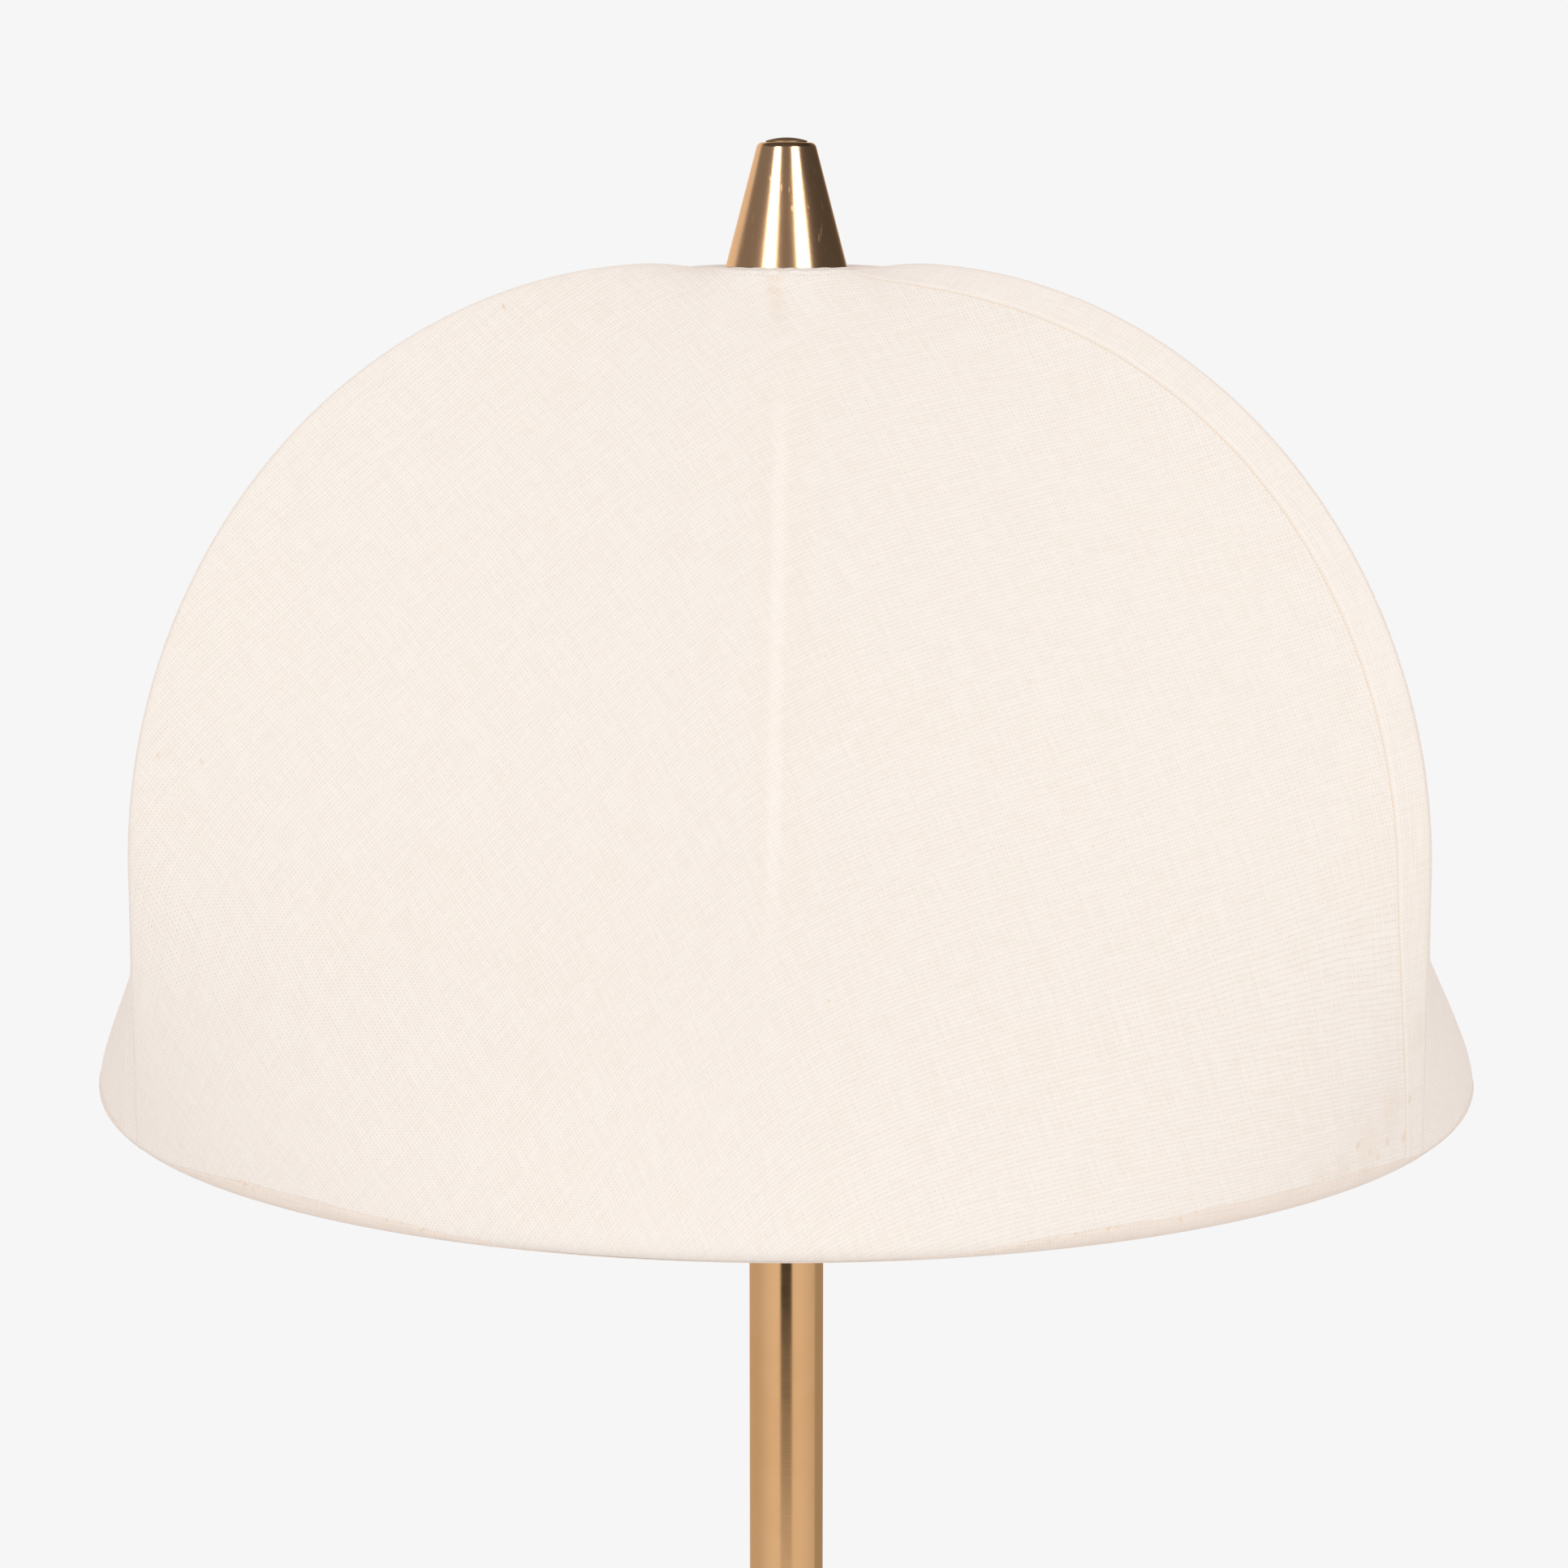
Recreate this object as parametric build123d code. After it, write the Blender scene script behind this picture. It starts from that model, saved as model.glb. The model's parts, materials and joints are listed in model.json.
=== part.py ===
from build123d import *
import math
import os

import numpy

# Floor lamp with a straight pole and a stretched cloth shade on a three-rib wire frame.
# Millimetres, +Z up.  The origin is the centre of the base's resting face.
# Azimuths are measured from the front (-Y) towards +X, in degrees.

# ---- driving dimensions -------------------------------------------------------------
RING_HEIGHT = 1250.0      # centre plane of the shade's bottom ring above the floor
SHADE_RADIUS = 230.0      # outside of the cloth at the bottom ring
RIB_ARC_RADIUS = 184.0    # outside of the cloth over the curved part of a rib
RIB_ARC_CENTRE_R = SHADE_RADIUS - RIB_ARC_RADIUS
RIB_ARC_CENTRE_Z = 84.0   # above the ring plane, and so the length of the straight leg
CROWN_RADIUS = 32.0       # where the panels start, around the hub
CROWN_HEIGHT = 266.3      # cloth on the hub, above the ring plane
RIB_AZIMUTHS = (-61.5, 58.5, 178.5)
PANEL_AZIMUTHS = (-1.5, 118.5, 238.5)
PANEL_HALF_ANGLE = 60.0

CLOTH = 0.5               # thickness of the cover
SEAM_GAP = 0.5            # a panel's side edges stop this far short of the rib planes
PANEL_GAP = 0.2           # and its lower edge this far above the hem
FRAME_DEPTH = 3.8         # wire centres below the outside of the cloth
RIB_WIRE = 1.75           # radii of the wires
RING_WIRE = 3.0
HUB_RADIUS = 30.0
HUB_THICKNESS = 2.5
HUB_MIDDLE = RING_HEIGHT + RIB_ARC_CENTRE_Z + RIB_ARC_RADIUS - FRAME_DEPTH

POLE_RADIUS = 12.7        # one-inch tube
POLE_WALL = 1.2
POLE_BOTTOM = 25.0
POLE_JOINT = 640.0
POLE_JOINT_RING = 7.0
POLE_TOP = 1276.0

BASE_RADIUS = 140.0
BASE_RIM = 1.0            # underside of the cover's rim above the floor
PAD_THICKNESS = 2.0
CORD_BORE = 3.6

NIPPLE_RADIUS = 4.9       # hollow threaded lamp pipe
NIPPLE_BORE = 3.4

SADDLE_Z = 1287.0
SADDLE_HALF = 24.0        # harp legs stand this far from the axis
POST_TOP = 1314.0
HARP_WIRE = 1.9
HARP_HALF = 46.0
HARP_TOP = RING_HEIGHT + 258.0
STUD_RADIUS = 3.17
STUD_TOP = RING_HEIGHT + 285.0
RUNNING_FIT = 0.08        # radial clearance where one piece turns or slides in another

SOCKET_RADIUS = 17.0
SOCKET_BOTTOM = 1289.0
SOCKET_TOP = 1345.0
SWITCH_Z = 1312.0

BULB_RADIUS = 30.0
BULB_CENTRE_Z = 1400.0

FINIAL_BOTTOM = RING_HEIGHT + CROWN_HEIGHT + 0.1
FINIAL_HEIGHT = 40.2
FINIAL_BASE_R = 20.0
FINIAL_TOP_R = 9.4
FINIAL_CAP = 1.6
CLAMP_RADIUS = 17.0       # washer that the finial's recess takes
INSERT_RADIUS = 5.5


# ---- small helpers ------------------------------------------------------------------
def disc(radius, bottom, top, hole=0.0):
    """Upright cylinder between two heights, with an optional hole through it."""
    align = (Align.CENTER, Align.CENTER, Align.MIN)
    body = Cylinder(radius, top - bottom, align=align)
    if hole:
        body -= Cylinder(hole, top - bottom, align=align)
    return Pos(0, 0, bottom) * body


def block(x_range, y_range, z_range):
    """Box from its lowest and highest coordinate on each axis."""
    spans = (x_range, y_range, z_range)
    sizes = [high - low for low, high in spans]
    middle = [(high + low) / 2 for low, high in spans]
    return Pos(*middle) * Box(*sizes)


def turned(points):
    """Solid turned about the pole's axis from (radius, height) corners."""
    outline = Polyline(*[(r, 0, z) for r, z in points], close=True)
    return revolve(make_face(outline), Axis.Z)


def rod_along_y(radius, start, end, z):
    """Round rod parallel to Y through x = 0."""
    rod = Cylinder(radius, abs(end - start))
    return Pos(0, (start + end) / 2, z) * Rot(90, 0, 0) * rod


def wire_along(path, radius):
    """Round wire swept along a path."""
    section = Plane(origin=path @ 0, z_dir=path % 0) * Circle(radius)
    return sweep(section, path=path)


def at_azimuth(shape, azimuth):
    """Turn a shape made in the +X half-plane to an azimuth."""
    return Rot(0, 0, azimuth - 90) * shape


# ---- base ---------------------------------------------------------------------------
def base_dome(inset, bottom):
    """The base's dished outline, pulled in evenly by inset."""
    radius = BASE_RADIUS - inset
    shoulder = 9.0 - inset
    top = POLE_BOTTOM - inset
    edge_z = 21.0 - inset
    rim_z = edge_z - shoulder
    side = Polyline((0, 0, bottom), (radius, 0, bottom), (radius, 0, rim_z))
    corner_r = radius - shoulder
    bow = shoulder * math.sqrt(0.5)
    arc = ThreePointArc((radius, 0, rim_z), (corner_r + bow, 0, rim_z + bow), (corner_r, 0, edge_z))
    lid = Polyline((corner_r, 0, edge_z), (32, 0, top), (0, 0, top), (0, 0, bottom))
    return revolve(make_face(side + arc + lid), Axis.Z)


def base_parts():
    """Weighted base: pad, iron weight, brass cover, collar, fixings and cord gland."""
    gland_z = 8.5
    gland_radius = 5.2
    recess = disc(18, PAD_THICKNESS, 11)
    channel = block((-6, 6), (0, BASE_RADIUS), (PAD_THICKNESS, 14.2))
    weight = base_dome(1.4, PAD_THICKNESS) - disc(5.1, 0, 30) - recess - channel

    gland_hole = rod_along_y(gland_radius, 120, 150, gland_z)
    cover = base_dome(0.0, BASE_RIM) - base_dome(1.0, 0.0) - disc(5.1, 0, 30) - gland_hole
    bore = rod_along_y(CORD_BORE, 120, 150, gland_z)
    gland = rod_along_y(gland_radius, 128, 140, gland_z) + rod_along_y(6.4, 140, 142.5, gland_z)

    nut = extrude(RegularPolygon(9.2, 6, major_radius=False), 5.2)
    collar = turned([
        (POLE_RADIUS + 0.05, POLE_BOTTOM), (27, POLE_BOTTOM), (27, 27.5), (25.5, 29),
        (20, 30.5), (17.2, 34), (16.2, 41), (15.0, 42.5), (POLE_RADIUS + 0.05, 42.5),
    ])
    return {
        "base_pad": disc(137, 0, PAD_THICKNESS, hole=26),
        "base_weight": weight,
        "base_cover": cover,
        "base_lock_washer": disc(13, 9.4, 11, hole=5.1),
        "base_nut": Pos(0, 0, 4.0) * nut - disc(5.0, 0, 12),
        "base_nipple": disc(NIPPLE_RADIUS, 3, 43, hole=NIPPLE_BORE),
        "base_collar": collar,
        "cord_gland": gland - bore,
    }


# ---- pole ---------------------------------------------------------------------------
def pole_parts():
    """Two brass tubes on an inner coupling, closed by a turned neck."""
    inside = POLE_RADIUS - POLE_WALL
    upper_start = POLE_JOINT + POLE_JOINT_RING
    ring = disc(15.2, POLE_JOINT, upper_start, hole=inside)
    ring = fillet(ring.edges().filter_by(GeomType.CIRCLE).group_by(SortBy.RADIUS)[-1], 2.4)
    neck = turned([
        (5.1, POLE_TOP), (13.6, POLE_TOP), (14.2, POLE_TOP + 1.2), (14.2, POLE_TOP + 2.8),
        (13.2, POLE_TOP + 4), (10.5, POLE_TOP + 5.5), (9.2, POLE_TOP + 8), (9.2, SADDLE_Z),
        (5.1, SADDLE_Z),
    ])
    return {
        "pole_lower": disc(POLE_RADIUS, POLE_BOTTOM, POLE_JOINT, hole=inside),
        "pole_foot_plug": disc(inside, POLE_BOTTOM, 47, hole=5.0),
        "pole_coupling": disc(inside, POLE_JOINT - 30, upper_start + 30, hole=6),
        "pole_joint_ring": ring,
        "pole_upper": disc(POLE_RADIUS, upper_start, POLE_TOP, hole=inside),
        "pole_top_plug": disc(inside, POLE_TOP - 22, POLE_TOP, hole=5.0),
        "pole_neck": neck,
        "socket_nipple": disc(NIPPLE_RADIUS, POLE_TOP - 16, 1297, hole=NIPPLE_BORE),
    }


# ---- lamp holder and bulb -----------------------------------------------------------
def ridged(radius, depth, pitch, bottom, top):
    """Corners of a screw-shell wall, from the bottom up, waving in by depth at each pitch."""
    turns = int((top - bottom) / pitch)
    points = []
    for turn in range(turns):
        z = bottom + turn * pitch
        points += [(radius - depth, z), (radius, z + 0.35 * pitch), (radius, z + 0.65 * pitch)]
    return points + [(radius - depth, bottom + turns * pitch)]


def socket_parts():
    """Turn-knob socket for an E26 bulb."""
    cap = turned([
        (5.1, SOCKET_BOTTOM), (9.5, SOCKET_BOTTOM), (14.5, 1291.5), (SOCKET_RADIUS, 1296),
        (SOCKET_RADIUS, 1303), (SOCKET_RADIUS - 0.8, 1303), (SOCKET_RADIUS - 0.8, 1296.4),
        (14.0, 1292.3), (9.3, SOCKET_BOTTOM + 0.8), (5.1, SOCKET_BOTTOM + 0.8),
    ])
    hole = rod_along_y(2.4, -25, -10, SWITCH_Z)
    rim = disc(SOCKET_RADIUS + 0.9, SOCKET_TOP - 1.6, SOCKET_TOP, hole=SOCKET_RADIUS - 0.7)
    shell = disc(SOCKET_RADIUS, 1303, SOCKET_TOP, hole=SOCKET_RADIUS - 0.7) + rim - hole
    insulator = disc(15.2, 1304, 1319) - rod_along_y(1.7, -16, -3, SWITCH_Z)
    inside = [(r + 0.6, z) for r, z in ridged(13.7, 0.6, 3.6, 1320, 1344)]
    bore = [(13.65, 1344), (13.65, 1320)]
    return {
        "socket_cap": cap,
        "socket_shell": shell,
        "socket_liner": disc(16.1, 1304, SOCKET_TOP - 2, hole=15.4) - hole,
        "socket_insulator": insulator,
        "socket_screw_shell": turned(inside + bore),
        "socket_contact": block((-4.5, 4.5), (-2, 2), (1319, 1319.6)) + disc(2.2, 1319.6, 1320.6),
    }


def switch_parts():
    """Switch spindle with its flat turn knob, at the front of the socket."""
    shaft = rod_along_y(1.6, -31, -4, SWITCH_Z)
    paddle = Box(15, 11, 5.5)
    paddle = fillet(paddle.edges().filter_by(Axis.Y), 2.6)
    knob = Pos(0, -32, SWITCH_Z) * paddle + rod_along_y(3.8, -27, -22.5, SWITCH_Z)
    return {
        "switch_shaft": shaft,
        "switch_knob": knob - rod_along_y(1.6, -31, -20, SWITCH_Z),
    }


def bulb_outline(inset):
    """Closed outline of the globe: neck, flare and round crown, pulled in by inset."""
    radius = BULB_RADIUS - inset
    neck = (13.0 - inset, 0, 1346.4)
    shoulder = (15.5 - inset, 0, 1356)
    side = (radius, 0, BULB_CENTRE_Z)
    flare = Spline(neck, shoulder, side, tangents=((0, 0, 1), (0, 0, 1)))
    bow = radius * math.sqrt(0.5)
    crown = ThreePointArc(side, (bow, 0, BULB_CENTRE_Z + bow), (0, 0, BULB_CENTRE_Z + radius))
    close = Polyline((0, 0, BULB_CENTRE_Z + radius), (0, 0, 1346.4), neck)
    return revolve(make_face(flare + crown + close), Axis.Z)


def bulb_parts():
    """Frosted bulb with its screw cap."""
    wall = ridged(13.0, 0.6, 3.6, 1323.5, 1342)
    cap = turned([(0, 1323.5)] + wall + [(13.0, 1343), (13.0, 1346.4), (0, 1346.4)])
    return {
        "bulb_cap": cap,
        "bulb_insulator": turned([(3.5, 1323.5), (9.5, 1323.5), (6.0, 1321.6), (3.5, 1321.4)]),
        "bulb_contact": disc(3.5, 1320.8, 1323.5),
        "bulb_globe": bulb_outline(0.0) - bulb_outline(1.2),
    }


# ---- harp ---------------------------------------------------------------------------
def saddle():
    """Bent strip under the socket with two upright posts for the harp."""
    strip = block((-SADDLE_HALF - 1, SADDLE_HALF + 1), (-7, 7), (SADDLE_Z, SADDLE_Z + 1.6))
    body = strip - disc(5.1, SADDLE_Z - 1, SADDLE_Z + 3)
    for side in (-SADDLE_HALF, SADDLE_HALF):
        body += block((side - 1, side + 1), (-4, 4), (SADDLE_Z + 1.6, 1300))
        body += Pos(side, 0, 0) * disc(HARP_WIRE, 1300, POST_TOP)
    return body


def harp_path():
    """Centre line of the harp, from one leg over the top to the other."""
    half = [(SADDLE_HALF, POST_TOP), (SADDLE_HALF, 1350), (HARP_HALF, 1398), (HARP_HALF, HARP_TOP)]
    points = [(x, 0, z) for x, z in half] + [(-x, 0, z) for x, z in reversed(half)]
    bend = 32.0
    crown = HARP_HALF - 0.5
    return FilletPolyline(*points, radius=[bend, bend, crown, crown, bend, bend])


def ferrule(side):
    """Sleeve that locks one harp leg to its post."""
    sleeve = disc(3.7, 1304, 1322, hole=HARP_WIRE + RUNNING_FIT)
    ends = sleeve.edges().filter_by(GeomType.CIRCLE).group_by(SortBy.RADIUS)[-1]
    return Pos(side, 0, 0) * fillet(ends, 0.9)


def harp_parts():
    """Wire harp with the seat and stud that carry the shade."""
    wire = wire_along(harp_path(), HARP_WIRE)
    seat_top = RING_HEIGHT + 261.45
    stud_bottom = HARP_TOP + HARP_WIRE + 0.1
    seat = turned([
        (0, HARP_TOP - 5), (4.2, HARP_TOP - 5), (5.6, HARP_TOP - 1), (8.6, HARP_TOP + 2),
        (8.6, seat_top), (0, seat_top),
    ])
    seat -= disc(STUD_RADIUS, stud_bottom, seat_top)
    stud = disc(STUD_RADIUS, stud_bottom, STUD_TOP)
    return {
        "harp_saddle": saddle(),
        "harp_wire": wire,
        "harp_seat": seat - wire,
        "harp_stud": chamfer(stud.edges().group_by(Axis.Z)[-1], 0.6),
        "harp_ferrule_left": ferrule(-SADDLE_HALF),
        "harp_ferrule_right": ferrule(SADDLE_HALF),
    }


# ---- shade --------------------------------------------------------------------------
def rib_line(shares):
    """Radius and height of the cloth over a rib: share 0 at the crown, 1 at the ring."""
    apex = RIB_ARC_CENTRE_Z + RIB_ARC_RADIUS
    rise = math.hypot(RIB_ARC_CENTRE_R - CROWN_RADIUS, apex - CROWN_HEIGHT)
    arc = RIB_ARC_RADIUS * math.pi / 2
    run = shares * (rise + arc + RIB_ARC_CENTRE_Z)
    on_rise = numpy.clip(run / rise, 0, 1)
    turn = numpy.clip((run - rise) / RIB_ARC_RADIUS, 0, math.pi / 2)
    down = numpy.clip(run - rise - arc, 0, RIB_ARC_CENTRE_Z)
    radius = CROWN_RADIUS + (RIB_ARC_CENTRE_R - CROWN_RADIUS) * on_rise
    radius += RIB_ARC_RADIUS * numpy.sin(turn)
    height = CROWN_HEIGHT + (apex - CROWN_HEIGHT) * on_rise
    height += RIB_ARC_RADIUS * (numpy.cos(turn) - 1) - down
    return radius, height


def panel_grid(rows, columns):
    """Outside of one cloth panel stretched between two ribs, centred on azimuth 0.

    The threads down the panel pull on each other and on the crown and the ring.  The
    threads across it pull on the ribs, less and less towards the ring.  The grid is where
    all those pulls balance, and a little spare cloth then flares it above the ring.
    """
    radius, height = rib_line(numpy.linspace(0, 1, rows))
    azimuth = numpy.radians(numpy.linspace(-PANEL_HALF_ANGLE, PANEL_HALF_ANGLE, columns))
    grid = numpy.zeros((rows, columns, 3))
    grid[..., 0] = radius[:, None] * numpy.sin(azimuth)
    grid[..., 1] = -radius[:, None] * numpy.cos(azimuth)
    grid[..., 2] = height[:, None]

    fade_height = 0.8 * SHADE_RADIUS
    fade = numpy.clip(height / fade_height, 0, 1)
    down_step = numpy.hypot(numpy.diff(radius), numpy.diff(height)).mean()
    cell = radius * (azimuth[1] - azimuth[0])
    across = (fade * fade * (3 - 2 * fade) * down_step / cell)[1:-1]
    between = (cell[1:] + cell[:-1]) / (2 * down_step)

    count = (rows - 2) * (columns - 2)
    number = numpy.full((rows, columns), -1)
    number[1:-1, 1:-1] = numpy.arange(count).reshape(rows - 2, columns - 2)
    here = number[1:-1, 1:-1]
    matrix = numpy.zeros((count, count))
    load = numpy.zeros((count, 3))
    sideways = ((0, -1, across), (0, 1, across))
    lengthways = ((-1, 0, between[:-1]), (1, 0, between[1:]))
    for down, right, pull in sideways + lengthways:
        window = (slice(1 + down, rows - 1 + down), slice(1 + right, columns - 1 + right))
        beside = number[window]
        strength = numpy.repeat(pull[:, None], columns - 2, axis=1)
        inner = beside >= 0
        matrix[here, here] += strength
        matrix[here[inner], beside[inner]] -= strength[inner]
        load[here[~inner]] += strength[~inner][:, None] * grid[window][~inner]
    grid[1:-1, 1:-1] = numpy.linalg.solve(matrix, load).reshape(rows - 2, columns - 2, 3)

    flare_height = 0.5 * SHADE_RADIUS
    flare_depth = 0.03 * SHADE_RADIUS
    low = numpy.clip(grid[..., 2] / flare_height, 0, 1)
    between_ribs = 1 - numpy.abs(numpy.linspace(-1, 1, columns)) ** 4
    flare = flare_depth * 6.75 * low * (1 - low) ** 2 * between_ribs
    bearing = numpy.arctan2(grid[..., 0], -grid[..., 1])
    grid[..., 0] += flare * numpy.sin(bearing)
    grid[..., 1] -= flare * numpy.cos(bearing)
    return grid


def shade_panel(azimuth):
    """One panel of the cloth cover as a thin solid."""
    rows, columns = 25, 17
    grid = panel_grid(rows, columns)
    grid[..., 2] += RING_HEIGHT + PANEL_GAP
    radius = numpy.hypot(grid[..., 0], grid[..., 1])
    narrower = 1 - SEAM_GAP / (radius * math.radians(PANEL_HALF_ANGLE))
    bearing = numpy.arctan2(grid[..., 0], -grid[..., 1]) * narrower
    grid[..., 0] = radius * numpy.sin(bearing)
    grid[..., 1] = -radius * numpy.cos(bearing)
    points = [[Vector(*point) for point in row] for row in grid.tolist()]
    face = Face.make_surface_from_array_of_points(points, tol=0.05)
    inward = face.normal_at(None).dot(Vector(0, 1, 0)) > 0
    return Rot(0, 0, azimuth) * Solid.thicken(face, CLOTH if inward else -CLOTH)


def shade_rib(ring):
    """One bent rib in the +X half-plane, ending on the ring."""
    arc_radius = RIB_ARC_RADIUS - FRAME_DEPTH
    centre = (RIB_ARC_CENTRE_R, RING_HEIGHT + RIB_ARC_CENTRE_Z)
    top = (centre[0], 0, centre[1] + arc_radius)
    side = (centre[0] + arc_radius, 0, centre[1])
    bow = arc_radius * math.sqrt(0.5)
    inner = Line((24, 0, top[2]), top)
    arc = ThreePointArc(top, (centre[0] + bow, 0, centre[1] + bow), side)
    leg = Line(side, (side[0], 0, RING_HEIGHT))
    path = Wire([inner.edge(), arc.edge(), leg.edge()])
    return wire_along(path, RIB_WIRE) - ring


def shade_parts():
    """Wire frame, three cloth panels, crown patch and hem."""
    ring_radius = SHADE_RADIUS - FRAME_DEPTH
    ring = Pos(0, 0, RING_HEIGHT) * Torus(ring_radius, RING_WIRE)
    rib = shade_rib(ring)
    hub_bottom = HUB_MIDDLE - HUB_THICKNESS / 2
    hub = disc(HUB_RADIUS, hub_bottom, hub_bottom + HUB_THICKNESS, hole=STUD_RADIUS + RUNNING_FIT)
    parts = {}
    for number, azimuth in enumerate(RIB_AZIMUTHS, start=1):
        placed = at_azimuth(rib, azimuth)
        hub -= placed
        parts[f"shade_rib_{number}"] = placed
    for number, azimuth in enumerate(PANEL_AZIMUTHS, start=1):
        parts[f"shade_panel_{number}"] = shade_panel(azimuth)

    hem = Torus(ring_radius, FRAME_DEPTH) - Torus(ring_radius, FRAME_DEPTH - CLOTH)
    hem -= disc(SHADE_RADIUS + 5, 0, 10, hole=ring_radius)
    hem -= disc(SHADE_RADIUS + 5, 2.2, 10)
    crown_top = RING_HEIGHT + CROWN_HEIGHT - 0.05
    parts["shade_hem"] = Pos(0, 0, RING_HEIGHT) * hem
    parts["shade_ring"] = ring
    parts["shade_hub"] = hub
    crown = disc(CROWN_RADIUS - 0.6, crown_top - CLOTH, crown_top, hole=5)
    for number in range(1, 4):
        crown -= parts[f"shade_rib_{number}"]
    parts["shade_crown"] = crown
    return parts


def finial_parts():
    """Washers and the conical finial that clamp the shade's hub to the harp."""
    hub_bottom = HUB_MIDDLE - HUB_THICKNESS / 2
    free_hole = STUD_RADIUS + RUNNING_FIT
    top = FINIAL_BOTTOM + FINIAL_HEIGHT
    shoulder = 2.0
    cone = turned([(0, FINIAL_BOTTOM), (FINIAL_BASE_R, FINIAL_BOTTOM), (FINIAL_TOP_R, top), (0, top)])
    cone = fillet(cone.edges().group_by(Axis.Z)[-1], shoulder)
    recess_top = FINIAL_BOTTOM + 1.3
    insert_top = recess_top + 14
    recess = disc(CLAMP_RADIUS + 0.4, FINIAL_BOTTOM, recess_top)
    body = cone - recess - disc(INSERT_RADIUS, recess_top, insert_top)
    body -= disc(3.9, insert_top, insert_top + 5)
    cap_radius = FINIAL_TOP_R - shoulder - 0.6
    cap_bow = 1.1
    ball = (cap_radius ** 2 + cap_bow ** 2) / (2 * cap_bow)
    dome = Pos(0, 0, top + FINIAL_CAP - ball) * Sphere(ball)
    return {
        "seat_washer": disc(13, hub_bottom - 1.3, hub_bottom - 0.15, hole=free_hole),
        "clamp_washer": disc(CLAMP_RADIUS, FINIAL_BOTTOM, FINIAL_BOTTOM + 1.1, hole=free_hole),
        "finial_insert": disc(INSERT_RADIUS, recess_top, insert_top, hole=free_hole),
        "finial_body": body,
        "finial_cap": disc(cap_radius, top, top + FINIAL_CAP) & dome,
    }


def main():
    """Write every piece to its own file."""
    os.makedirs("parts", exist_ok=True)
    stand = (base_parts, pole_parts)
    light = (socket_parts, switch_parts, bulb_parts)
    top = (harp_parts, shade_parts, finial_parts)
    for group in stand + light + top:
        for name, shape in group().items():
            export_step(shape, f"parts/{name}.step")


main()
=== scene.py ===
import json
import math

import bpy
import numpy as np
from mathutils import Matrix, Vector

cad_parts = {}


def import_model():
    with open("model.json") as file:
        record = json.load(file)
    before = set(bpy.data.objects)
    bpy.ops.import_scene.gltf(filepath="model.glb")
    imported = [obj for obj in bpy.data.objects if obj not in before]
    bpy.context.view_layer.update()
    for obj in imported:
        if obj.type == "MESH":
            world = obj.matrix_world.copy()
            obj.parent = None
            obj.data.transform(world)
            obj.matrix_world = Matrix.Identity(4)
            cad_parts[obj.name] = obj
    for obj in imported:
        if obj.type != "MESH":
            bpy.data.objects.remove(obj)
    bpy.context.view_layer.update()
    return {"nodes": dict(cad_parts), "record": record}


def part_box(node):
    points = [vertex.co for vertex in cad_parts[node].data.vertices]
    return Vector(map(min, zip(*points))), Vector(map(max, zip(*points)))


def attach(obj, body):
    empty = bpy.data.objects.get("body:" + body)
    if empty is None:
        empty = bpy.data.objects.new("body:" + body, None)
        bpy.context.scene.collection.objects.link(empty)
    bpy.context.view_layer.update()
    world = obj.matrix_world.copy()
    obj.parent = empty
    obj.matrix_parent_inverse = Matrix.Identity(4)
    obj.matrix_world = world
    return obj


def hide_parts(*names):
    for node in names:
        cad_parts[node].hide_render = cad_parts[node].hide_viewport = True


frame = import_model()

# Metres, +Z up, front towards -Y.  Azimuths run from the front towards +X, in degrees.
MM = 0.001

# ---- sizes read from the frame ------------------------------------------------------
ring_low, ring_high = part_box("shade_ring")
hem_low, hem_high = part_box("shade_hem")
RING_Z = (ring_low.z + ring_high.z) / 2
SHADE_R = (hem_high.x - hem_low.x) / 2
RING_WIRE = (ring_high.z - ring_low.z) / 2
RING_R = (ring_high.x - ring_low.x) / 2 - RING_WIRE
CLOTH_DEPTH = SHADE_R - RING_R

# ---- the cloth cover's own shape ----------------------------------------------------
ARC_R = 184 * MM                 # outside of the cloth over a rib's curve
ARC_CENTRE_R = SHADE_R - ARC_R
ARC_CENTRE_Z = 84 * MM
CROWN_R = 32 * MM
CROWN_Z = 266.3 * MM
PANEL_AZIMUTHS = (-1.5, 118.5, 238.5)
HALF_ANGLE = 60.0                # half of the angle that a panel spans
RIB_RUN = 387 * MM               # cloth's length over a rib, from the crown to the ring
FINE_ROWS_RUN = 14 * MM          # part of it, above the ring, with closer rows of points
CLOTH = 0.5 * MM
SEAM_INSET = 12.8 * MM           # seam's distance from the right-hand rib
SEAM_LIP = 1.1 * MM              # its raised lip's distance from the seam, towards the rib
SEAM_STITCH = 1.3 * MM
CREASE_FADE = 190 * MM           # where the middle's pressed crease starts to fade, from the crown
CREASE_END = 260 * MM
THREAD = 1.1 * MM                # spacing of threads in the hem, the crown and the seam's strip

# Threads of the flat panel at its left and right: angle above the horizontal in degrees and
# spacing in millimetres.  They turn over from one to the other around "middle".
WEFT = {"left": (50, 1.06), "right": (10, 1.35), "middle": -20, "width": 50}
WARP = {"left": (-45, 1.2), "right": (-71, 0.95), "middle": 0, "width": 90}

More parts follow.
